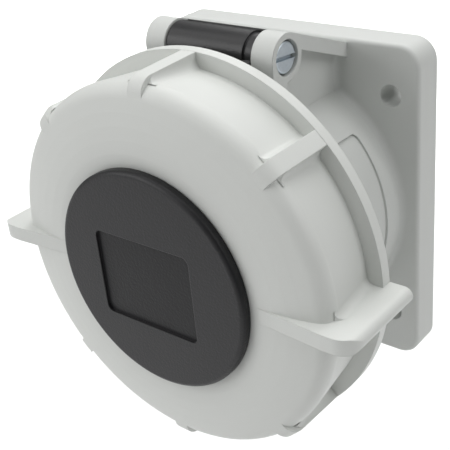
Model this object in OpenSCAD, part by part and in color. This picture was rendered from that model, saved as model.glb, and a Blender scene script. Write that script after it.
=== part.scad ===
// Flanged industrial panel socket with a hinged, bayonet-locked cap.
// Millimetres. Origin: centre of the flange's rear face. The front looks along -Y, +Z is up.
// Sub-parts are drawn in a front frame (x right, y up, z towards the front) and turned once.

/* [Flange] */
// Width of the flange
flange_w = 75; // [72:0.5:80]
// Height of the flange
flange_h = 85; // [82:0.5:90]
// Thickness of the flange
flange_t = 8.5; // [7:0.5:9]
// Radius of the flange's corners
corner_r = 5.5; // [5:0.5:10]
// Rounding of the flange's front edge
flange_edge_r = 1; // [0.5:0.1:1.5]
// Distance between fixing holes, both ways
hole_pitch = 60; // [58:0.5:61]
// Diameter of the fixing holes
hole_d = 5.5; // [4.5:0.1:6]

/* [Collar] */
// Outer diameter of the collar
collar_d = 66; // [65:0.5:67]
// Diameter of the space that takes the plug's shroud
collar_bore_d = 57.6; // [57:0.1:58]
// How far in front of the flange's rear face the collar ends
collar_front = 56; // [54:0.5:56]
// Width of the keyway at the bottom of the bore
keyway_w = 6.5; // [5:0.5:8]
// Height of the bayonet ramps above the collar
ramp_h = 3.5; // [2:0.1:3.5]

/* [Hinge] */
// Height of the hinge axis above the socket's axis
hinge_up = 45.2; // [45:0.1:46]
// How far in front of the flange's rear face the hinge axis lies
hinge_out = 32.6; // [32:0.1:33]
// Radius of the two ears
ear_r = 5.5; // [5.2:0.1:5.6]
// Distance between the ears' outer ends
ear_span = 36.8; // [35:0.1:38]
// Gap between the ears, which holds the barrel
ear_gap = 25.2; // [24.8:0.1:26]
// Slope of the bracket's roof
roof_slope = 21.7; // [19:0.1:23]
// Thickness of the bracket's roof
roof_t = 3.3; // [2.5:0.1:4]
// Diameter of the hinge screw's shank
screw_d = 4; // [3.5:0.1:4]

/* [Locking ring] */
// Diameter of the ring's rear rim
rim_d = 96; // [95:0.5:97]
// Thickness of the rim
rim_t = 2.8; // [2:0.1:3.5]
// How far in front of the flange's rear face the rim starts
rim_back = 41; // [40.5:0.1:42]
// Radius of the wall where it leaves the rim
wall_foot_r = 44.2; // [43.8:0.1:44.6]
// Radius of the wall at the shoulder
wall_top_r = 45.9; // [45:0.1:46]
// Rounding of the shoulder
shoulder_r = 3.8; // [3:0.1:4.5]
// Depth of the shoulder's front
shoulder_front = 62.3; // [62:0.1:62.6]
// Width of the short ribs
rib_w = 4; // [3:0.1:5]
// Reach of the two grip wings from the axis
wing_reach = 53.5; // [50:0.5:55]
// Thickness of the grip wings
wing_t = 3.8; // [3.5:0.1:5.5]

/* [Centre disc] */
// Diameter of the disc
disc_d = 55; // [54:0.5:56]
// How far in front of the flange's rear face the disc ends
disc_front = 66.2; // [65.6:0.1:67]
// Width of the bare label recess
label_w = 28.2; // [24:0.2:30]
// Height of the bare label recess
label_h = 22.3; // [18:0.1:24]

/* [Contacts] */
// Radius of the circle that the contacts stand on
contact_ring_r = 14; // [13.5:0.1:14.5]
// Bore of the phase and neutral sleeves
phase_bore = 5.1; // [5:0.05:5.2]
// Bore of the earth sleeve
earth_bore = 6.1; // [6:0.05:6.2]

/* [Hidden] */
$fn = 96;
eps = 0.01;

// Clearances
slack = 0.3;
running = 0.05;

// Collar, floor and the rear recess of the housing
collar_r = collar_d / 2;
bore_r = collar_bore_d / 2;
floor_back = 9.5;
floor_front = 13;
carrier_r = 22.5;
recess_r = 27.3;
seal_groove_t = 2.5;
seal_inset = 3;
seal_w = 4;
ramp_back = 50;
ramp_front = 54;
ramp_from = -50;
ramp_to = -17;

// Bracket: tangent point of the roof on the ear, and its height at the flange
ear_out = ear_span / 2;
ear_in = ear_gap / 2;
roof_touch = [hinge_out - ear_r * sin(roof_slope), hinge_up + ear_r * cos(roof_slope)];
roof_foot_up = roof_touch[1] - (roof_touch[0] - flange_t) * tan(roof_slope);
web_out = 15;
web_flat_front = 24;
ear_front = hinge_out + ear_r;
web_foot_up = 24;

// Barrel of the cap
barrel_r = 5.1;
barrel_left = -ear_in + slack;
barrel_right = 9.8;
barrel_step = 12.1;
spring_cover_r = 4.6;
spring_pocket_r = 4;
spring_pocket_x = 2.5;
head_r = 3.55;
head_pocket_r = 4.1;
head_pocket_x = ear_out - 4;
head_face_x = ear_out - 0.4;
slot_turn = -6;

// Locking ring
rim_r = rim_d / 2;
rim_front = rim_back + rim_t;
ring_bore_r = 41.5;
ring_mouth_r = 24.3;
ring_skin = 3.1;
dome_bulge = 0.6;
shoulder_c = [wall_top_r - shoulder_r, shoulder_front - shoulder_r];
shoulder_a = 77;
disc_r = disc_d / 2;
dome_front = 63.66;
dome_edge = shoulder_c + shoulder_r * [cos(shoulder_a), sin(shoulder_a)];
rib_angles = [45, 90, 135, 225, 270, 315];
rib_fillet = 2;
rib_rise = 1.7;
wall_flare = atan((wall_top_r - wall_foot_r) / (shoulder_c[1] - rim_front));
fade_r = 5.9;
fade_up = 55;
wing_front = 65.1;
wing_root_x = 29.3;
wing_corner_r = 5;
wing_fillet = 2;
lug_r = 36.9;
lug_back = 45;
lug_front = ramp_back - slack;
lug_half = 5;

// Cap body
plate_back = 57;
plate_front = 59.1;
plate_r = ring_bore_r - 0.7;
hub_r = ring_mouth_r - slack;
seat_depth = dome_front + 0.24;
gasket_in = 28.2;
gasket_out = 34;
arm_half = 10;

// Contacts: clock position of each, in degrees, with the earth at the bottom
contact_angles = [-90, -18, 54, 126, 198];
carrier_front = 50;
carrier_back = -12;
sleeve_front = 45.8;
sleeve_bottom = 22;
sleeve_wall = 0.95;
block_back = -28;
terminal_r = 4.4;
terminal_back = -26;
terminal_screw_depth = -19;
wire_side = 3.4;
well_slack = 0.1;
carrier_screw_ring = 24.9;
carrier_screw_angles = [30, 150, 270];

light_grey = [0.80, 0.81, 0.79];
black = [0.10, 0.10, 0.11];
dark_grey = [0.22, 0.22, 0.23];
zinc = [0.62, 0.66, 0.70];
brass = [0.78, 0.62, 0.30];
rubber = [0.06, 0.06, 0.06];

// ---- shared forms ----

// Turns the front frame into the part's own frame
module front() rotate([90, 0, 0]) children();

// Draws a [depth, height] outline and gives it width from x0 to x1
module side_slab(x0, x1)
    translate([x1, 0, 0]) rotate([0, -90, 0]) linear_extrude(x1 - x0) children();

// A rod along X at the hinge axis
module hinge_rod(r, x0, x1)
    translate([x0, hinge_up, hinge_out]) rotate([0, 90, 0]) cylinder(r = r, h = x1 - x0);

// A tube about the socket's axis
module tube(r_out, r_in, z0, z1)
    translate([0, 0, z0]) difference() {
        cylinder(r = r_out, h = z1 - z0);
        translate([0, 0, -1]) cylinder(r = r_in, h = z1 - z0 + 2);
    }

// Part of a turn of a rectangular section, from angle a0 to a1
module sector(r_in, r_out, z0, z1, a0, a1)
    rotate([0, 0, a0]) rotate_extrude(angle = a1 - a0)
        translate([r_in, z0]) square([r_out - r_in, z1 - z0]);

// Points of an arc, for outlines that are turned or extruded
function arc(c, r, a0, a1, n) = [for (i = [0:n]) c + r * [cos(a0 + (a1 - a0) * i / n),
                                                          sin(a0 + (a1 - a0) * i / n)]];

// A rectangle with round corners
module round_rect(w, h, r)
    union() {
        square([w - 2 * r, h], center = true);
        square([w, h - 2 * r], center = true);
        for (x = [-1, 1], y = [-1, 1]) translate([x * (w / 2 - r), y * (h / 2 - r)]) circle(r);
    }

// The hollow corner of a fillet that rises from y = 0 along x = 0
module fillet_corner(r)
    difference() {
        translate([-eps, -eps]) square(r + eps);
        translate([r, r]) circle(r);
    }

// Places children at contact i
module at_contact(i)
    rotate([0, 0, contact_angles[i]]) translate([contact_ring_r, 0, 0]) children();

// ---- housing ----

// Outline of the flange's edge from its middle outwards, with the front edge rounded
function edge_outline(half) = concat([[0, 0], [half, 0]],
    arc([half - flange_edge_r, flange_t - flange_edge_r], flange_edge_r, 0, 90, 5), [[0, flange_t]]);

// A plate with round corners whose front edge is rounded all the way round
module flange_plate() {
    w = flange_w / 2;
    h = flange_h / 2;
    // middle bar, full height
    side_slab(-w + corner_r, w - corner_r) for (m = [0, 1])
        mirror([0, m]) polygon([for (p = edge_outline(h)) [p[1], p[0]]]);
    // middle bar, full width
    translate([0, h - corner_r, 0]) rotate([90, 0, 0]) linear_extrude(flange_h - 2 * corner_r)
        for (m = [0, 1]) mirror([m, 0]) polygon(edge_outline(w));
    for (x = [-1, 1], y = [-1, 1]) translate([x * (w - corner_r), y * (h - corner_r), 0])
        rotate_extrude() polygon(edge_outline(corner_r));
}

module collar_shape() {
    foot_r = 1.5;
    lip_r = 0.8;
    rotate_extrude() polygon(concat(
        [[0, flange_t - 1], [collar_r + foot_r, flange_t - 1]],
        arc([collar_r + foot_r, flange_t + foot_r], foot_r, -90, -180, 5),
        arc([collar_r - lip_r, collar_front - lip_r], lip_r, 0, 90, 4), [[0, collar_front]]));
    // bayonet ramps, each with a thinner lead-in at its entry
    lead = 8;
    for (a = [0, 180]) difference() {
        sector(collar_r - 1, collar_r + ramp_h, ramp_back, ramp_front, a + ramp_from, a + ramp_to);
        sector(collar_r + 0.2, collar_r + ramp_h + 1, ramp_back - 1, ramp_back + 1.2,
            a + ramp_to - lead, a + ramp_to + 1);
    }
}

// One side of the hinge bracket: ear, front strip and the web that curves out to it
module bracket_side() {
    cove_r = ((ear_out - web_out) * (ear_out - web_out)
        + pow(ear_front - 5 - web_flat_front, 2)) / (2 * (ear_out - web_out));
    web_outline = [[flange_t - 1, web_foot_up], [flange_t - 1, roof_foot_up - 1], roof_touch - [0, 1],
        [hinge_out, hinge_up + 1], [ear_front, hinge_up], [ear_front, web_foot_up]];
    hinge_rod(ear_r, ear_in, ear_out);
    difference() {
        side_slab(ear_in, ear_out) polygon(web_outline);
        // the flat of the web
        translate([web_out, 0, flange_t - 2])
            cube([ear_out, flange_h, web_flat_front - flange_t + 2]);
        // the cove from the flat out to the ear's strip
        translate([web_out + cove_r, 0, web_flat_front]) rotate([-90, 0, 0])
            cylinder(r = cove_r, h = flange_h, $fn = 128);
    }
    // fillet between web and flange
    foot_r = 1.5;
    translate([web_out, roof_foot_up - 1, flange_t]) rotate([90, 0, 0])
        linear_extrude(roof_foot_up - web_foot_up - 2) fillet_corner(foot_r);
}

module bracket() {
    for (m = [0, 1]) mirror([m, 0, 0]) bracket_side();
    // sloping roof, hollowed in front for the barrel
    difference() {
        side_slab(-ear_out, ear_out) polygon([[flange_t - 1, roof_foot_up - tan(roof_slope)],
            roof_touch, roof_touch - roof_t * [-sin(roof_slope), cos(roof_slope)],
            [flange_t - 1, roof_foot_up - tan(roof_slope) - roof_t / cos(roof_slope)]]);
        hinge_rod(barrel_r + 0.7, -ear_in, ear_in);
    }
}

// The bare recessed label field on the collar's right side
module label_recess() {
    recess_t = 0.5;
    field_back = 15.6;
    field_front = 37;
    field_up = 22.3;
    intersection() {
        tube(collar_r + 1, collar_r - recess_t, field_back - 1, field_front + 1);
        side_slab(collar_r / 2, collar_r + 1) translate([(field_back + field_front) / 2, 0])
            round_rect(field_front - field_back, 2 * field_up, 1.5);
    }
}

module flange_housing()
    color(light_grey) front() difference() {
        union() {
            flange_plate();
            collar_shape();
            bracket();
        }
        // plug space, floor hole and rear recess
        translate([0, 0, floor_front]) cylinder(r = bore_r, h = collar_front);
        translate([0, 0, -1]) cylinder(r = carrier_r + slack, h = collar_front);
        translate([0, 0, -1]) cylinder(r = recess_r, h = floor_back + 1);
        // keyway
        translate([-keyway_w / 2, -bore_r - 2.2, floor_front])
            cube([keyway_w, bore_r, collar_front]);
        // fixing holes
        for (x = [-1, 1], y = [-1, 1]) translate([x * hole_pitch / 2, y * hole_pitch / 2, -1])
            cylinder(d = hole_d, h = flange_t + 2);
        // groove of the panel gasket
        translate([0, 0, -1]) linear_extrude(seal_groove_t + 1) gasket_outline(0);
        // hinge screw: head pocket, through hole and the tapped hole opposite
        hinge_rod(head_pocket_r, head_pocket_x, ear_out + 1);
        hinge_rod(screw_d / 2 + running, -ear_out + 1.5, ear_out);
        // holes of the carrier's screws
        for (a = carrier_screw_angles) rotate([0, 0, a]) translate([carrier_screw_ring, 0, 0])
            cylinder(r = 1.25, h = floor_front - 0.8);
        label_recess();
    }

// Ring between two rounded squares, inside the fixing holes
module gasket_outline(gap) {
    out_w = hole_pitch + hole_d + 2;
    difference() {
        round_rect(out_w - 2 * gap, out_w - 2 * gap, 6 - gap);
        circle(recess_r + 1 + gap);
        for (x = [-1, 1], y = [-1, 1]) translate([x * hole_pitch / 2, y * hole_pitch / 2])
            circle(hole_d / 2 + 0.6 + gap);
    }
}

module panel_gasket()
    color(rubber) front() linear_extrude(seal_groove_t) gasket_outline(0);

// ---- contacts ----

function contact_bore(i) = i == 0 ? earth_bore : phase_bore;
function sleeve_r(i) = contact_bore(i) / 2 + sleeve_wall;
function pin_hole_r(i) = contact_bore(i) / 2 + 0.1;

module contact_carrier()
    color(dark_grey) front() difference() {
        union() {
            translate([0, 0, carrier_back]) cylinder(r = carrier_r, h = carrier_front - carrier_back);
            translate([0, 0, 4]) cylinder(r = recess_r - 0.2, h = floor_back - 4);
        }
        for (i = [0:4]) at_contact(i) {
            // bore of the sleeve, and the lead-in cone of the pin hole in front of it
            translate([0, 0, carrier_back - 1])
                cylinder(r = sleeve_r(i) + 0.6, h = sleeve_front + 0.2 - carrier_back + 1);
            translate([0, 0, sleeve_front - 0.8])
                cylinder(r1 = pin_hole_r(i), r2 = pin_hole_r(i) + 0.6, h = 6);
        }
        for (a = carrier_screw_angles) rotate([0, 0, a]) translate([carrier_screw_ring, 0, 0])
            cylinder(r = 1.35, h = 20);
        translate([0, 0, carrier_back - 1]) cylinder(r = 1.5, h = 12);
    }

// A sleeve for the pin, its stem and the terminal barrel with a square wire hole
module contact(i)
    color(brass) front() at_contact(i) difference() {
        union() {
            translate([0, 0, carrier_back]) cylinder(r = sleeve_r(i), h = sleeve_front - carrier_back);
            translate([0, 0, terminal_back])
                cylinder(r = terminal_r, h = carrier_back - terminal_back);
            // collar that holds the contact in its bore
            cylinder(r = sleeve_r(i) + 0.6, h = 3);
        }
        translate([0, 0, sleeve_bottom]) cylinder(d = contact_bore(i), h = sleeve_front);
        translate([-wire_side / 2, -wire_side / 2, terminal_back - 1])
            cube([wire_side, wire_side, 11]);
        translate([0, 0, terminal_screw_depth]) rotate([0, 90, 0])
            cylinder(r = 1.75, h = terminal_r + 1);
    }

module contact_earth() contact(0);
module contact_l1() contact(1);
module contact_l2() contact(2);
module contact_l3() contact(3);
module contact_n() contact(4);

// Steel ring round the mouth of each sleeve
module contact_springs()
    color(zinc) front() for (i = [0:4]) at_contact(i)
        tube(sleeve_r(i) + 0.5, sleeve_r(i), sleeve_front - 5, sleeve_front - 2);

module terminal_block()
    color(dark_grey) front() difference() {
        translate([0, 0, block_back]) cylinder(r = carrier_r, h = carrier_back - block_back);
        for (i = [0:4]) at_contact(i) {
            translate([0, 0, block_back - 1]) cylinder(r = terminal_r + well_slack, h = 30);
            translate([0, 0, terminal_screw_depth]) rotate([0, 90, 0]) cylinder(r = 2.4, h = 20);
        }
        translate([0, 0, block_back - 1]) cylinder(r = 1.6, h = 30);
        translate([0, 0, block_back - 1]) cylinder(r = 3.2, h = 4);
    }

// Pressure plates under the terminal screws
module terminal_clamps()
    color(zinc) front() for (i = [0:4]) at_contact(i)
        translate([0.3, -wire_side / 2 + 0.1, terminal_back + 0.5])
            cube([0.8, wire_side - 0.2, 9]);

module terminal_screws()
    color(zinc) front() for (i = [0:4]) at_contact(i)
        translate([1.1, 0, terminal_screw_depth]) rotate([0, 90, 0]) difference() {
            cylinder(r = 1.75, h = 6);
            translate([-0.4, -2, 5]) cube([0.8, 4, 2]);
        }

// Screw that holds the terminal block on the carrier
module block_screw()
    color(zinc) front() difference() {
        union() {
            translate([0, 0, block_back + 3 - 2.2]) cylinder(r = 3, h = 2.2);
            translate([0, 0, block_back + 1]) cylinder(r = 1.5, h = 22);
        }
        translate([-0.4, -4, block_back]) cube([0.8, 8, 1.9]);
    }

module carrier_screws()
    color(zinc) front() for (a = carrier_screw_angles) rotate([0, 0, a])
        translate([carrier_screw_ring, 0, 0]) difference() {
            union() {
                translate([0, 0, 2]) cylinder(r = 2.1, h = 2);
                translate([0, 0, 3]) cylinder(r = 1.25, h = 9);
            }
            translate([-3, -0.35, 1]) cube([6, 0.7, 1.8]);
        }

// ---- hinge ----

module hinge_screw()
    color(zinc) front() difference() {
        union() {
            hinge_rod(head_r, head_pocket_x, head_face_x);
            hinge_rod(screw_d / 2, -ear_out + 1.7, head_pocket_x + 1);
        }
        // driver slot, turned a little from level
        translate([head_face_x, hinge_up, hinge_out]) rotate([slot_turn, 0, 0])
            cube([2.4, 1, 10], center = true);
    }

// Closing spring: a round wire wound about the screw, in the pocket of the barrel
spring_turns = 6;
spring_r = 2.9;
spring_wire_r = 0.5;
spring_x0 = 3.3;
spring_x1 = 11.8;
spring_sides = 6;
spring_steps = 14;
function spring_point(k, s) =
    let (turn = 360 * k / spring_steps, side = 360 * s / spring_sides,
         r = spring_r + spring_wire_r * cos(side))
    [spring_x0 + (spring_x1 - spring_x0) * k / (spring_turns * spring_steps)
         + spring_wire_r * sin(side),
     hinge_up + r * cos(turn), hinge_out + r * sin(turn)];

module hinge_spring() {
    rings = spring_turns * spring_steps;
    n = spring_sides;
    color(zinc) front() polyhedron(
        points = [for (k = [0:rings], s = [0:n - 1]) spring_point(k, s)],
        faces = concat(
            [[for (s = [n - 1:-1:0]) s]],
            [for (k = [0:rings - 1], s = [0:n - 1])
                [k * n + s, k * n + (s + 1) % n, (k + 1) * n + (s + 1) % n, (k + 1) * n + s]],
            [[for (s = [0:n - 1]) rings * n + s]]));
}

// ---- cap ----

module lid_body()
    color(black) front() difference() {
        union() {
            // barrel, the cover of the spring beyond it, and the stop below that cover
            hinge_rod(barrel_r, barrel_left, barrel_right);
            hinge_rod(spring_cover_r, 0, barrel_step);
            intersection() {
                hinge_rod(barrel_r, barrel_left, barrel_step);
                translate([0, hinge_up - 10, hinge_out - 10]) cube([20, 9.6, 20]);
            }
            // arm from the barrel round the back of the rim
            side_slab(barrel_left, barrel_step) polygon([[hinge_out - 4, hinge_up - 3.4],
                [hinge_out + 5, hinge_up], [40.3, 41], [40.3, 34.6], [36.5, 34.6]]);
            side_slab(-arm_half, arm_half) polygon([[39, 34.6], [39, 39.2], [plate_back + 1, 39.2],
                [plate_back + 1, 34.6]]);
            // plate, rim and hub
            rotate_extrude() polygon([[0, 60], [0, seat_depth], [hub_r, seat_depth],
                [hub_r, 60.1], [plate_r - 1.5, plate_front - 0.3], [plate_r, plate_front - 1.5],
                [plate_r, 52], [38, 52],
                [38, plate_back], [19, plate_back], [16, 60]]);
        }
        // spring pocket and the screw's bore
        hinge_rod(spring_pocket_r, spring_pocket_x, ear_out);
        hinge_rod(screw_d / 2 + running, barrel_left - 1, ear_out);
        // groove of the gasket
        tube(gasket_out, gasket_in, plate_back - 1, plate_front - 0.6);
        // sockets of the disc's pegs
        for (a = [30, 150, 270]) rotate([0, 0, a]) translate([18, 0, 61])
            cylinder(r = 2, h = 10);
    }

module lid_gasket()
    color(rubber) front() rotate_extrude() polygon(concat(
        [[gasket_in, plate_front - 0.6], [gasket_in, plate_back]],
        [[gasket_in + 0.8, collar_front + 0.15], [gasket_out - 0.8, collar_front + 0.15]],
        [[gasket_out, plate_back], [gasket_out, plate_front - 0.6]]));

module centre_disc()
    color(black) front() difference() {
        union() {
            rotate_extrude() polygon(concat([[0, seat_depth], [disc_r, seat_depth]],
                arc([disc_r - 1.2, disc_front - 1.2], 1.2, 0, 90, 6), [[0, disc_front]]));
            for (a = [30, 150, 270]) rotate([0, 0, a]) translate([18, 0, 61.1])
                cylinder(r = 2, h = 4);
        }
        // bare label recess
        translate([-0.8, -0.9, disc_front - 0.7]) linear_extrude(2) round_rect(label_w, label_h, 1.8);
    }

// Section of the ring's body: rim, flaring wall, round shoulder and shallow dome
module ring_section() {
    polygon(concat(
        [[0, rim_back], [rim_r, rim_back], [rim_r, rim_front], [wall_foot_r, rim_front],
            [wall_top_r, shoulder_c[1]], shoulder_c],
        [for (t = [0:0.2:1]) dome_edge + t * ([disc_r, dome_front] - dome_edge)
            + [0, 4 * dome_bulge * t * (1 - t)]],
        [[disc_r - 0.5, dome_front - 0.06], [0, dome_front - 0.06]]));
    translate(shoulder_c) circle(shoulder_r);
}

// Section that every short rib is cut to: the ring's own section moved out along the dome's slope
module rib_section() {
    c = shoulder_c + rib_rise * [cos(shoulder_a - 90), sin(shoulder_a - 90)];
    polygon([[0, rim_back + 0.5], [rim_r, rim_back + 0.5], [c[0] + shoulder_r, c[1]], c,
        c + shoulder_r * [cos(shoulder_a), sin(shoulder_a)], dome_edge - [0, 0.02],
        [0, dome_edge[1] - 0.02]]);
    translate(c) circle(shoulder_r);
}

// Fillets where a rib or wing of the given half thickness stands on the flaring wall.
// They are full along the wall and die out over the shoulder.
module side_fillets(half, r)
    intersection() {
        for (m = [0, 1]) mirror([0, m, 0])
            translate([wall_foot_r - 0.3, half, rim_front - 1]) rotate([0, wall_flare, 0])
                linear_extrude(30) fillet_corner(r);
        rotate_extrude() union() {
            translate([wall_foot_r - 4, rim_front - 1]) square([fade_r + 2, fade_up - rim_front + 1]);
            translate([wall_foot_r - 2, fade_up]) circle(fade_r);
        }
    }

module ribs() {
    intersection() {
        rotate_extrude() rib_section();
        for (a = rib_angles) rotate([0, 0, a]) translate([20, -rib_w / 2, rim_back])
            cube([rim_r, rib_w, 30]);
    }
    for (a = rib_angles) rotate([0, 0, a]) side_fillets(rib_w / 2, rib_fillet);
}

// Grip wing: a plate with a round outer edge, cut to its outline seen from above
module wing_plate()
    intersection() {
        translate([wing_root_x, 0, rim_back]) linear_extrude(30) union() {
            translate([0, -wing_t / 2]) square([wing_reach - wing_root_x - wing_t / 2, wing_t]);
            translate([wing_reach - wing_root_x - wing_t / 2, 0]) circle(wing_t / 2);
        }
        translate([0, 10, 0]) rotate([90, 0, 0]) linear_extrude(20) wing_outline();
    }

module wing_outline() {
    reach = wing_reach - wing_corner_r;
    polygon([[wing_root_x, rim_back], [wing_reach, rim_back], [wing_reach, wing_front - wing_corner_r],
        [reach, wing_front - wing_corner_r], [reach, wing_front], [wall_top_r, wing_front],
        [wing_root_x, dome_front + 0.1]]);
    translate([reach, wing_front - wing_corner_r]) circle(wing_corner_r);
}

// Space inside the ring: bore, underside of the dome and mouth
function ring_space() = [[0, rim_back - 1], [ring_bore_r, rim_back - 1],
    [ring_bore_r, shoulder_front - ring_skin - 1.2], [ring_bore_r - 1.2, shoulder_front - ring_skin],
    [ring_mouth_r + 0.6, dome_front - ring_skin], [ring_mouth_r, dome_front - ring_skin + 0.6],
    [ring_mouth_r, dome_front + 2], [0, dome_front + 2]];

module locking_ring()
    color(light_grey) front() union() {
        difference() {
            union() {
                rotate_extrude() ring_section();
                ribs();
                for (m = [0, 1]) mirror([m, 0, 0]) {
                    wing_plate();
                    side_fillets(wing_t / 2, wing_fillet);
                }
            }
            rotate_extrude() polygon(ring_space());
        }
        for (a = [0, 180])
            sector(lug_r, ring_bore_r + 1, lug_back, lug_front, a - lug_half, a + lug_half);
    }

flange_housing();
panel_gasket();
contact_carrier();
contact_earth();
contact_l1();
contact_l2();
contact_l3();
contact_n();
contact_springs();
terminal_block();
terminal_clamps();
terminal_screws();
block_screw();
carrier_screws();
hinge_screw();
hinge_spring();
lid_body();
lid_gasket();
centre_disc();
locking_ring();
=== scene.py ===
import math

import bmesh
import bpy
from mathutils import Matrix, Vector


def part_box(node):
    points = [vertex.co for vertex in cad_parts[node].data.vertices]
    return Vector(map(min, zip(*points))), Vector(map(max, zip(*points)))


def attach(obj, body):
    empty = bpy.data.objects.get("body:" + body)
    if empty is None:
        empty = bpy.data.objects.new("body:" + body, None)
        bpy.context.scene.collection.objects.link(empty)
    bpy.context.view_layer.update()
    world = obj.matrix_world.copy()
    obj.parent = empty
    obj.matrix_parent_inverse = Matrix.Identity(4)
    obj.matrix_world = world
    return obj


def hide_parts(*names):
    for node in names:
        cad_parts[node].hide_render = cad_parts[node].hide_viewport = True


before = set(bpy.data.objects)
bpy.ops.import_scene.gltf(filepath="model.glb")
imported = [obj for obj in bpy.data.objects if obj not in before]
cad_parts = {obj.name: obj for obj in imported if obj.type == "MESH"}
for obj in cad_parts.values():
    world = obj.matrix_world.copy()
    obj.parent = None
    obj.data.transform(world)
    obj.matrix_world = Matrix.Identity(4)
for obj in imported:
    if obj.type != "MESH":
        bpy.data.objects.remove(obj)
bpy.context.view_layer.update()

# ---- The studio ----
# A long lens stands in front of the socket, to its right and above it. A wide pale floor lies well
# below. Soft light comes from overhead, from behind, from the left and from the right.
camera_place = Vector((0.13324, -0.18994, 0.10898))
camera_right = Vector((0.78039, 0.61874, -0.09032))
camera_up = Vector((-0.23000, 0.41836, 0.87868))
camera_back = camera_right.cross(camera_up)
lens = bpy.data.cameras.new("studio_lens")
lens.lens = 74.3
lens.sensor_width = 36.0
lens.clip_start = 0.01
lens.clip_end = 20.0
camera = bpy.data.objects.new("studio_camera", lens)
facing = Matrix((camera_right, camera_up, camera_back)).transposed()
camera.matrix_world = Matrix.Translation(camera_place) @ facing.to_4x4()
bpy.context.scene.collection.objects.link(camera)
bpy.context.scene.camera = camera
bpy.context.scene.view_settings.view_transform = "Standard"

floor_drop = 0.26
floor_half = 6.0
floor_mesh = bmesh.new()
bmesh.ops.create_grid(floor_mesh, x_segments=1, y_segments=1, size=floor_half)
bmesh.ops.translate(floor_mesh, verts=floor_mesh.verts, vec=(0, 0, -floor_drop))
floor_data = bpy.data.meshes.new("studio_floor")
floor_mesh.to_mesh(floor_data)
floor_mesh.free()
floor = bpy.data.objects.new("studio_floor", floor_data)
bpy.context.scene.collection.objects.link(floor)
paint = bpy.data.materials.new("studio_floor_paint")
paint.use_nodes = True
paint.node_tree.nodes["Principled BSDF"].inputs["Base Color"].default_value = (0.93, 0.93, 0.93, 1)
paint.node_tree.nodes["Principled BSDF"].inputs["Roughness"].default_value = 0.9
floor_data.materials.append(paint)

sky = bpy.data.worlds.new("studio_sky")
sky.use_nodes = True
sky.node_tree.nodes["Background"].inputs["Color"].default_value = (1.0, 1.0, 1.0, 1)
sky.node_tree.nodes["Background"].inputs["Strength"].default_value = 0.14
bpy.context.scene.world = sky


def softbox(name, place, aim, size, watts):
    data = bpy.data.lights.new(name, "AREA")
    data.shape = "RECTANGLE"
    data.size, data.size_y = size
    data.energy = watts
    lamp = bpy.data.objects.new(name, data)
    back = (Vector(place) - Vector(aim)).normalized()
    lamp.matrix_world = Matrix.Translation(place) @ back.to_track_quat("Z", "Y").to_matrix().to_4x4()
    bpy.context.scene.collection.objects.link(lamp)
    return lamp


middle = (0.0, -0.03, 0.0)
softbox("overhead_softbox", (-0.10, -0.15, 1.10), middle, (1.2, 1.2), 6.9)
softbox("rear_softbox", (-0.2, 0.75, 1.0), middle, (1.2, 1.2), 8.8)
softbox("front_left_softbox", (-0.75, -1.05, 0.45), middle, (0.9, 0.9), 5.6)
softbox("left_softbox", (-0.9, -0.5, 0.7), middle, (0.8, 0.8), 2.2)
softbox("rear_right_softbox", (0.95, 0.20, 0.70), middle, (0.7, 0.7), 4.4)
# lights only the far floor, so that it stays as pale as the near floor
far_floor = softbox("far_floor_softbox", (-0.9, 0.95, 0.9), (-0.9, 0.95, 0.0), (1.4, 0.8), 9.0)
far_floor.data.spread = math.radians(80)

# ---- Moulded housing ----
# Flange, collar and hinge bracket are one moulding in light grey glass-filled polyamide. The tool's
# spark-eroded face leaves a fine even grain, and corners are broken by a small radius.


def new_group(name, inputs, outputs):
    group = bpy.data.node_groups.new(name, "ShaderNodeTree")
    for label, kind, value in inputs:
        socket = group.interface.new_socket(label, in_out="INPUT", socket_type=kind)
        socket.default_value = value
    for label, kind in outputs:
        group.interface.new_socket(label, in_out="OUTPUT", socket_type=kind)
    start = group.nodes.new("NodeGroupInput")
    end = group.nodes.new("NodeGroupOutput")
    return group, start, end


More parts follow.
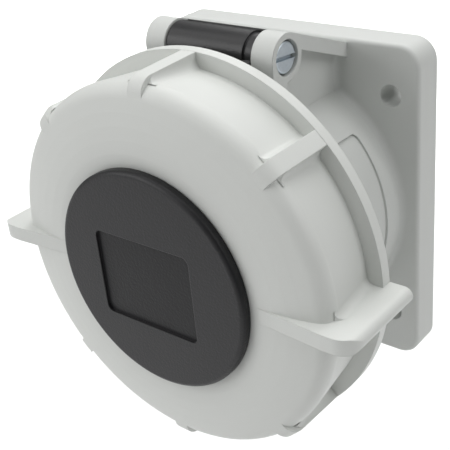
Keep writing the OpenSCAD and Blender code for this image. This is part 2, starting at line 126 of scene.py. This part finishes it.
def make_grain():
    group, start, end = new_group(
        "moulded_grain",
        [("Grain Size", "NodeSocketFloat", 3000.0), ("Cloud Size", "NodeSocketFloat", 60.0),
         ("Grain Depth", "NodeSocketFloat", 0.15), ("Tone Change", "NodeSocketFloat", 0.03)],
        [("Height", "NodeSocketFloat"), ("Tone", "NodeSocketFloat"), ("Cloud", "NodeSocketFloat")])
    nodes, links = group.nodes, group.links
    where = nodes.new("ShaderNodeTexCoord")
    grain = nodes.new("ShaderNodeTexNoise")
    grain.inputs["Detail"].default_value = 2.0
    cloud = nodes.new("ShaderNodeTexNoise")
    cloud.inputs["Detail"].default_value = 3.0
    links.new(where.outputs["Object"], grain.inputs["Vector"])
    links.new(where.outputs["Object"], cloud.inputs["Vector"])
    links.new(start.outputs["Grain Size"], grain.inputs["Scale"])
    links.new(start.outputs["Cloud Size"], cloud.inputs["Scale"])
    height = nodes.new("ShaderNodeMath")
    height.operation = "MULTIPLY"
    links.new(grain.outputs["Fac"], height.inputs[0])
    links.new(start.outputs["Grain Depth"], height.inputs[1])
    links.new(height.outputs[0], end.inputs["Height"])
    # tone: 1 plus or minus the change, from cloud and grain together
    both = nodes.new("ShaderNodeMath")
    both.operation = "ADD"
    links.new(grain.outputs["Fac"], both.inputs[0])
    links.new(cloud.outputs["Fac"], both.inputs[1])
    centred = nodes.new("ShaderNodeMath")
    centred.operation = "SUBTRACT"
    centred.inputs[1].default_value = 1.0
    links.new(both.outputs[0], centred.inputs[0])
    tone = nodes.new("ShaderNodeMath")
    tone.operation = "MULTIPLY_ADD"
    tone.inputs[2].default_value = 1.0
    links.new(centred.outputs[0], tone.inputs[0])
    links.new(start.outputs["Tone Change"], tone.inputs[1])
    links.new(tone.outputs[0], end.inputs["Tone"])
    links.new(cloud.outputs["Fac"], end.inputs["Cloud"])
    return group


grain_group = make_grain()


def new_skin(name):
    material = bpy.data.materials.new(name)
    material.use_nodes = True
    tree = material.node_tree
    return material, tree.nodes, tree.links, tree.nodes["Principled BSDF"]


def place_group(nodes, group, **values):
    """Adds a shader node group, with its inputs set by name, such as grain_size for Grain Size."""
    placed = nodes.new("ShaderNodeGroup")
    placed.node_tree = group
    for label, value in values.items():
        placed.inputs[label.replace("_", " ").title()].default_value = value
    return placed


def colour_by(nodes, links, skin, colour, tone):
    base = nodes.new("ShaderNodeRGB")
    base.outputs[0].default_value = (*colour, 1)
    shade = nodes.new("ShaderNodeVectorMath")
    shade.operation = "SCALE"
    links.new(base.outputs[0], shade.inputs[0])
    links.new(tone, shade.inputs["Scale"])
    links.new(shade.outputs[0], skin.inputs["Base Color"])


def roughness_by(nodes, links, skin, rough, spread, cloud):
    dull = nodes.new("ShaderNodeMapRange")
    dull.inputs["To Min"].default_value = rough - spread
    dull.inputs["To Max"].default_value = rough + spread
    links.new(cloud, dull.inputs["Value"])
    links.new(dull.outputs["Result"], skin.inputs["Roughness"])


def relief_by(nodes, links, skin, distance, height):
    relief = nodes.new("ShaderNodeBump")
    relief.inputs["Distance"].default_value = distance
    links.new(height, relief.inputs["Height"])
    links.new(relief.outputs["Normal"], skin.inputs["Normal"])
    return relief


def round_corners(nodes, links, relief, corner, samples):
    soft = nodes.new("ShaderNodeBevel")
    soft.samples = samples
    soft.inputs["Radius"].default_value = corner
    links.new(soft.outputs["Normal"], relief.inputs["Normal"])


def moulded(name, colour, rough, grain_size, grain_depth, tone_change, corner):
    """A moulded plastic: grain in the bump, clouds in colour and roughness, rounded corners."""
    material, nodes, links, skin = new_skin(name)
    grain = place_group(nodes, grain_group, grain_size=grain_size, grain_depth=grain_depth,
                        tone_change=tone_change)
    colour_by(nodes, links, skin, colour, grain.outputs["Tone"])
    roughness_by(nodes, links, skin, rough, 0.05, grain.outputs["Cloud"])
    relief = relief_by(nodes, links, skin, 0.0001, grain.outputs["Height"])
    round_corners(nodes, links, relief, corner, 6)
    return material


def dress(node, material):
    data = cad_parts[node].data
    data.materials.clear()
    data.materials.append(material)


housing_grey = moulded("housing_grey", (0.60, 0.615, 0.595), 0.50, 2600.0, 0.12, 0.03, 0.0004)
dress("flange_housing", housing_grey)

# ---- Panel gasket ----
# A flat moulding of black rubber, pressed into the groove behind the flange. Rubber is dull, and
# its skin is a little cloudy from the mould release.
panel_rubber = moulded("panel_rubber", (0.022, 0.022, 0.022), 0.72, 1500.0, 0.3, 0.12, 0.0003)
dress("panel_gasket", panel_rubber)

# ---- Insert ----
# The contact carrier and the terminal block behind it are dark grey glass-filled polyamide, duller
# than the housing, with pin holes that open in a lead-in cone.
insert_grey = moulded("insert_grey", (0.040, 0.041, 0.043), 0.55, 2200.0, 0.25, 0.08, 0.0003)
for node in ("contact_carrier", "terminal_block"):
    dress(node, insert_grey)

# ---- Contact sleeves ----
# Turned from brass rod and nickel-plated. The lathe leaves fine rings across the rod, which run
# round each sleeve because all five stand along Y.


def make_turning_marks():
    group, start, end = new_group(
        "turning_marks",
        [("Ring Pitch", "NodeSocketFloat", 0.00016), ("Ring Depth", "NodeSocketFloat", 0.3),
         ("Tone Change", "NodeSocketFloat", 0.08)],
        [("Height", "NodeSocketFloat"), ("Tone", "NodeSocketFloat")])
    nodes, links = group.nodes, group.links
    where = nodes.new("ShaderNodeTexCoord")
    split = nodes.new("ShaderNodeSeparateXYZ")
    links.new(where.outputs["Object"], split.inputs[0])
    count = nodes.new("ShaderNodeMath")
    count.operation = "DIVIDE"
    links.new(split.outputs["Y"], count.inputs[0])
    links.new(start.outputs["Ring Pitch"], count.inputs[1])
    rings = nodes.new("ShaderNodeTexNoise")
    rings.noise_dimensions = "1D"
    rings.inputs["Scale"].default_value = 1.0
    rings.inputs["Detail"].default_value = 3.0
    links.new(count.outputs[0], rings.inputs["W"])
    height = nodes.new("ShaderNodeMath")
    height.operation = "MULTIPLY"
    links.new(rings.outputs["Fac"], height.inputs[0])
    links.new(start.outputs["Ring Depth"], height.inputs[1])
    links.new(height.outputs[0], end.inputs["Height"])
    centred = nodes.new("ShaderNodeMath")
    centred.operation = "SUBTRACT"
    centred.inputs[1].default_value = 0.5
    links.new(rings.outputs["Fac"], centred.inputs[0])
    tone = nodes.new("ShaderNodeMath")
    tone.operation = "MULTIPLY_ADD"
    tone.inputs[2].default_value = 1.0
    links.new(centred.outputs[0], tone.inputs[0])
    links.new(start.outputs["Tone Change"], tone.inputs[1])
    links.new(tone.outputs[0], end.inputs["Tone"])
    return group


turning_marks = make_turning_marks()


def turned_metal(name, colour, rough):
    """A plated, turned metal: lathe rings in the bump and in the tone, clouds in the roughness."""
    material, nodes, links, skin = new_skin(name)
    skin.inputs["Metallic"].default_value = 1.0
    marks = place_group(nodes, turning_marks)
    grain = place_group(nodes, grain_group)
    colour_by(nodes, links, skin, colour, marks.outputs["Tone"])
    roughness_by(nodes, links, skin, rough, 0.06, grain.outputs["Cloud"])
    relief_by(nodes, links, skin, 0.00003, marks.outputs["Height"])
    return material


sleeve_nickel = turned_metal("sleeve_nickel", (0.74, 0.70, 0.60), 0.30)
for node in ("contact_earth", "contact_l1", "contact_l2", "contact_l3", "contact_n"):
    dress(node, sleeve_nickel)

# ---- Spring rings, clamps and screws of the insert ----
# Pressed and headed steel with a thin zinc plating, passivated blue. The plating is cloudy, and
# the corners of stamped steel are slightly round.


def plated_steel(name, colour, rough, cloud_size):
    """Zinc on steel: clouds in tone and roughness, a fine uneven skin, rounded corners."""
    material, nodes, links, skin = new_skin(name)
    skin.inputs["Metallic"].default_value = 1.0
    grain = place_group(nodes, grain_group, grain_size=1400.0, cloud_size=cloud_size, tone_change=0.14)
    colour_by(nodes, links, skin, colour, grain.outputs["Tone"])
    roughness_by(nodes, links, skin, rough, 0.08, grain.outputs["Cloud"])
    relief = relief_by(nodes, links, skin, 0.00002, grain.outputs["Height"])
    round_corners(nodes, links, relief, 0.0001, 4)
    return material


blue_zinc = plated_steel("blue_zinc", (0.66, 0.72, 0.77), 0.50, 260.0)
for node in ("contact_springs", "terminal_clamps", "terminal_screws", "block_screw", "carrier_screws"):
    dress(node, blue_zinc)

# ---- Hinge screw ----
# The hinge pin is a slotted cheese-head screw of zinc-plated steel: a headed blank whose slot is
# sawn right across, with a round edge on the head. It sits in the right ear's pocket.


def new_piece(name, mesh, material, body):
    data = bpy.data.meshes.new(name)
    mesh.to_mesh(data)
    mesh.free()
    data.materials.append(material)
    piece = bpy.data.objects.new(name, data)
    bpy.context.scene.collection.objects.link(piece)
    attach(piece, body)
    return piece


screw_low, screw_high = (Vector(corner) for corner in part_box("hinge_screw"))
hinge_axis = Vector((0, (screw_low.y + screw_high.y) / 2, (screw_low.z + screw_high.z) / 2))
head_radius = (screw_high.z - screw_low.z) / 2
head_height = 0.0036
shank_radius = 0.002
slot_half = 0.0005
slot_depth = 0.0012
slot_turn = math.radians(84)
brim_radius = 0.0004
shank_overlap = 0.001
tip_length = 0.0008
tip_chamfer = 0.0004

screw = bmesh.new()
blank_height = head_height - slot_depth
bmesh.ops.create_cone(screw, cap_ends=True, cap_tris=False, segments=72, radius1=head_radius,
                      radius2=head_radius, depth=blank_height)
top = [face for face in screw.faces if face.normal.z > 0.9]
for side in (-1, 1):
    region = top + list({edge for face in top for edge in face.edges})
    region += list({vert for face in top for vert in face.verts})
    bmesh.ops.bisect_plane(screw, geom=region, plane_co=(0, side * slot_half, 0), plane_no=(0, 1, 0))
    screw.normal_update()
    top = [face for face in screw.faces if face.normal.z > 0.9]
lands = [face for face in top if abs(face.calc_center_median().y) > slot_half]
raised = bmesh.ops.extrude_face_region(screw, geom=lands)
raised_verts = [item for item in raised["geom"] if isinstance(item, bmesh.types.BMVert)]
bmesh.ops.translate(screw, verts=raised_verts, vec=(0, 0, slot_depth))
screw.normal_update()
face_height = blank_height / 2 + slot_depth
brim = [edge for edge in screw.edges
        if all(abs(vert.co.z - face_height) < 1e-7 for vert in edge.verts)
        and all(abs(vert.co.xy.length - head_radius) < 1e-6 for vert in edge.verts)]
bmesh.ops.bevel(screw, geom=brim, offset=brim_radius, segments=4, profile=0.5, affect="EDGES", material=-1)
# the shank, from inside the head to the far ear, with a tapered tip
shank_length = screw_high.x - head_height - screw_low.x + shank_overlap
shank_top = shank_overlap - blank_height / 2
bmesh.ops.create_cone(screw, cap_ends=True, cap_tris=False, segments=40,
                      radius1=shank_radius - tip_chamfer, radius2=shank_radius, depth=tip_length,
                      matrix=Matrix.Translation((0, 0, shank_top - shank_length + tip_length / 2)))
bmesh.ops.create_cone(screw, cap_ends=True, cap_tris=False, segments=40, radius1=shank_radius,
                      radius2=shank_radius, depth=shank_length - tip_length,
                      matrix=Matrix.Translation((0, 0, shank_top - (shank_length - tip_length) / 2)))
lie_along_x = Matrix.Rotation(math.radians(90), 4, "Y")
place = Matrix.Translation((screw_high.x - face_height, hinge_axis.y, hinge_axis.z))
turn = Matrix.Rotation(slot_turn, 4, "X")
bmesh.ops.transform(screw, matrix=place @ turn @ lie_along_x, verts=screw.verts)
bmesh.ops.recalc_face_normals(screw, faces=screw.faces)
hinge_screw = new_piece("slotted_hinge_screw", screw, blue_zinc, "housing")
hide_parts("hinge_screw")

# ---- Closing spring ----
# Round spring wire wound about the screw in six turns, with both ends bent straight. It lies in
# the pocket of the cap's barrel.
spring_low, spring_high = (Vector(corner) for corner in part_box("hinge_spring"))
wire_radius = 0.0005
coil_radius = (spring_high.z - spring_low.z) / 2 - wire_radius
coil_turns = 6
steps_a_turn = 40
coil_length = spring_high.x - spring_low.x - 2 * wire_radius
leg_length = 0.0014

coil = bmesh.new()
bmesh.ops.create_circle(coil, cap_ends=False, segments=14, radius=wire_radius,
                        matrix=Matrix.Translation((coil_radius, 0, 0))
                        @ Matrix.Rotation(math.radians(90), 4, "X"))
bmesh.ops.spin(coil, geom=coil.verts[:] + coil.edges[:], cent=(0, 0, 0), axis=(0, 0, 1),
               dvec=(0, 0, coil_length / (coil_turns * steps_a_turn)), angle=math.tau * coil_turns,
               steps=coil_turns * steps_a_turn, use_merge=False)
for way in (-1, 1):
    ends = [edge for edge in coil.edges if edge.is_boundary
            and (edge.verts[0].co.z < coil_length / 2) == (way < 0)]
    leg = bmesh.ops.extrude_edge_only(coil, edges=ends)
    leg_verts = [item for item in leg["geom"] if isinstance(item, bmesh.types.BMVert)]
    bmesh.ops.translate(coil, verts=leg_verts, vec=(0, way * leg_length, 0))
    bmesh.ops.contextual_create(coil, geom=[item for item in leg["geom"]
                                            if isinstance(item, bmesh.types.BMEdge)])
bmesh.ops.transform(coil, matrix=Matrix.Translation((spring_low.x + wire_radius, hinge_axis.y,
                                                     hinge_axis.z)) @ lie_along_x, verts=coil.verts)
bmesh.ops.recalc_face_normals(coil, faces=coil.faces)
for face in coil.faces:
    face.smooth = True
spring_steel = plated_steel("spring_steel", (0.46, 0.45, 0.43), 0.34, 400.0)
closing_spring = new_piece("closing_spring", coil, spring_steel, "housing")
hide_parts("hinge_spring")

# ---- Cap ----
# Plate, arm and barrel are one black moulding. The tool is polished with a coarse stone, so the
# skin is evenly grained and a little glossy where light grazes it.
cap_black = moulded("cap_black", (0.014, 0.014, 0.0148), 0.36, 1900.0, 0.5, 0.20, 0.0003)
dress("lid_body", cap_black)

# ---- Cap seal ----
# A ring of black rubber, moulded with two sealing lips and pressed into the groove of the cap's
# plate. The lips meet the end of the collar.
seal_low, seal_high = (Vector(corner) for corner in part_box("lid_gasket"))
seal_out = seal_high.x
seal_width = 0.0058
seal_depth = seal_high.y - seal_low.y
seal_in = seal_out - seal_width
seal = bmesh.new()
lip = [(0.0, 0.0), (0.0, 0.62), (0.13, 0.96), (0.24, 1.0), (0.35, 0.92), (0.5, 0.66), (0.65, 0.92),
       (0.76, 1.0), (0.87, 0.96), (1.0, 0.62), (1.0, 0.0)]
section = [seal.verts.new((seal_in + seal_width * across, seal_low.y + seal_depth * up, 0))
           for across, up in lip]
rails = [seal.edges.new(pair) for pair in zip(section, section[1:] + section[:1])]
bmesh.ops.spin(seal, geom=section + rails, cent=(0, 0, 0), axis=(0, 1, 0), dvec=(0, 0, 0),
               angle=math.tau, steps=120, use_merge=True)
bmesh.ops.recalc_face_normals(seal, faces=seal.faces)
for face in seal.faces:
    face.smooth = True
seal_rubber = moulded("seal_rubber", (0.018, 0.018, 0.018), 0.66, 1500.0, 0.3, 0.12, 0.0002)
cap_seal = new_piece("cap_seal", seal, seal_rubber, "lid")
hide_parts("lid_gasket")

# ---- Centre disc ----
# A black disc with three pegs, pressed into the cap through the ring's mouth. Its face has the
# cap's grain, and the bare recess for a label is smoother and a little darker.
disc_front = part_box("centre_disc")[0][1]
disc_black = moulded("disc_black", (0.0175, 0.0175, 0.0190), 0.42, 1900.0, 0.8, 0.30, 0.0003)
nodes, links = disc_black.node_tree.nodes, disc_black.node_tree.links
skin = nodes["Principled BSDF"]
# the recess is told from the face by its depth behind the disc's front
where = nodes.new("ShaderNodeTexCoord")
split = nodes.new("ShaderNodeSeparateXYZ")
links.new(where.outputs["Object"], split.inputs[0])
in_recess = nodes.new("ShaderNodeMapRange")
in_recess.inputs["From Min"].default_value = disc_front + 0.0002
in_recess.inputs["From Max"].default_value = disc_front + 0.0005
links.new(split.outputs["Y"], in_recess.inputs["Value"])
grained = skin.inputs["Base Color"].links[0].from_socket
darker = nodes.new("ShaderNodeMix")
darker.data_type = "RGBA"
darker.inputs["B"].default_value = (0.0100, 0.0100, 0.0112, 1)
links.new(in_recess.outputs["Result"], darker.inputs["Factor"])
links.new(grained, darker.inputs["A"])
links.new(darker.outputs["Result"], skin.inputs["Base Color"])
shine = nodes.new("ShaderNodeMapRange")
shine.inputs["To Min"].default_value = 0.40
shine.inputs["To Max"].default_value = 0.30
links.new(in_recess.outputs["Result"], shine.inputs["Value"])
links.new(shine.outputs["Result"], skin.inputs["Specular IOR Level"])
dress("centre_disc", disc_black)

# ---- Locking ring ----
# One moulding in the flange's grey polyamide: rim, wall, dome, ribs and grip wings. It is gripped
# by hand, so its face is a little smoother than the flange.
ring_grey = moulded("ring_grey", (0.67, 0.685, 0.66), 0.47, 2600.0, 0.10, 0.02, 0.0003)
dress("locking_ring", ring_grey)
